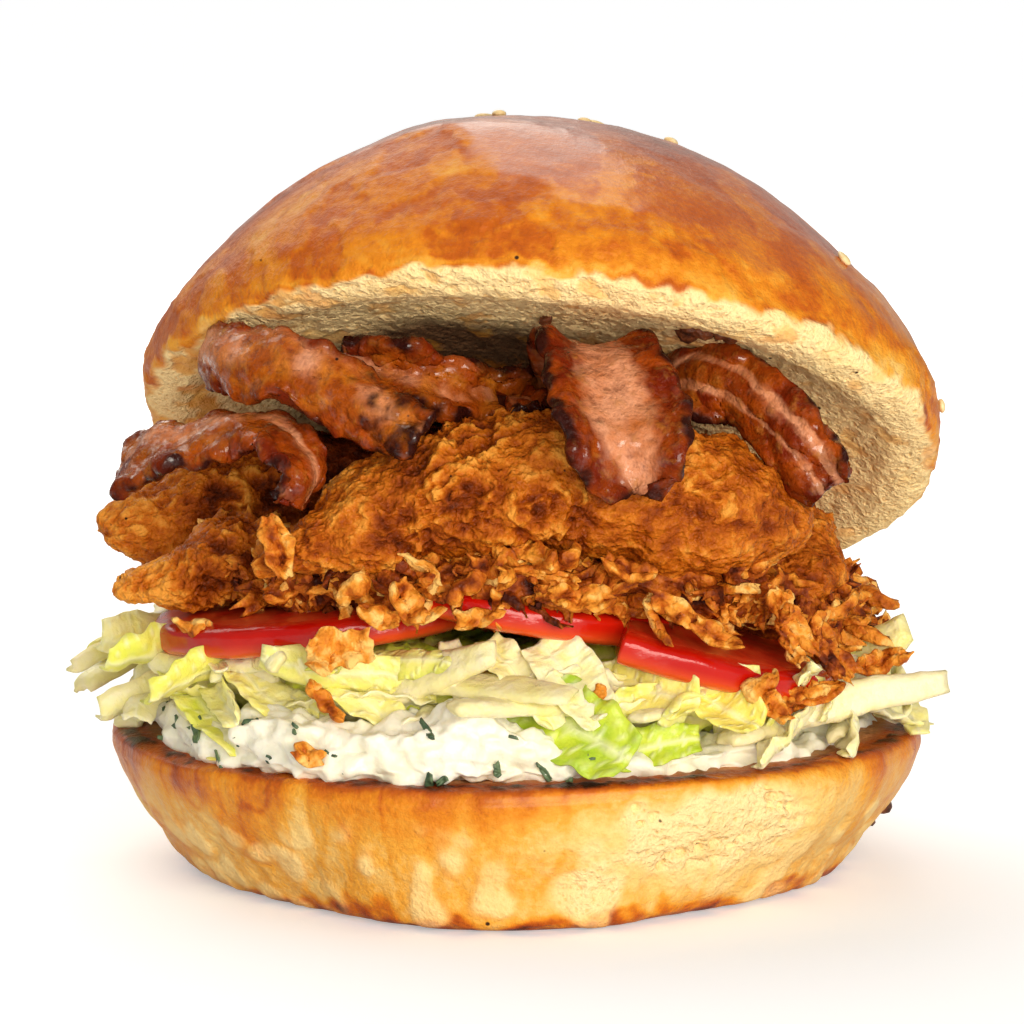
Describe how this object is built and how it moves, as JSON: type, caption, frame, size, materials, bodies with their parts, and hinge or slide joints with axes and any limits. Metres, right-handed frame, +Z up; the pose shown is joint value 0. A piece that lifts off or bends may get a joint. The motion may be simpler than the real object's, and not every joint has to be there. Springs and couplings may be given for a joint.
{
  "type": "chicken burger",
  "caption": "Chicken burger in a glossy toasted bun, with fried tenders, bacon, crispy onions, tomato, shredded lettuce and herb sauce",
  "frame": {"origin": "on the table, under the middle of the heel's flat underside", "axes": "+Z up; the open front of the bun faces -Y, and +X is to the right as seen from the front"},
  "size_m": [0.1197, 0.1139, 0.1069],
  "materials": {
    "baked_crust": "glossy egg-washed bread crust, paler and porous where it is cut",
    "herb_sauce": "thick cream sauce with chopped green herbs",
    "shredded_lettuce": "crisp moist leaf strips, pale rib to fresh green",
    "tomato_flesh": "wet red tomato slice with a glossy skin",
    "fried_onion": "crisp golden-brown fried flakes",
    "fried_batter": "craggy golden-brown fried coating with a little oil",
    "fried_bacon": "fried streaky bacon, translucent fat between dark lean edges"
  },
  "bodies": {
    "root": {"bun_heel": "baked_crust", "herb_sauce": "herb_sauce", "lettuce": "shredded_lettuce", "tomato_left": "tomato_flesh", "tomato_middle": "tomato_flesh", "tomato_right": "tomato_flesh", "crispy_onions": "fried_onion", "chicken_front": "fried_batter", "chicken_left": "fried_batter", "chicken_finger": "fried_batter", "chicken_right": "fried_batter", "chicken_back": "fried_batter", "bacon_front": "fried_bacon", "bacon_top_left": "fried_bacon", "bacon_top_back": "fried_bacon", "bacon_low_left": "fried_bacon", "bacon_right": "fried_bacon", "bacon_middle": "fried_bacon", "bun_crown": "baked_crust"}
  },
  "joints": []
}
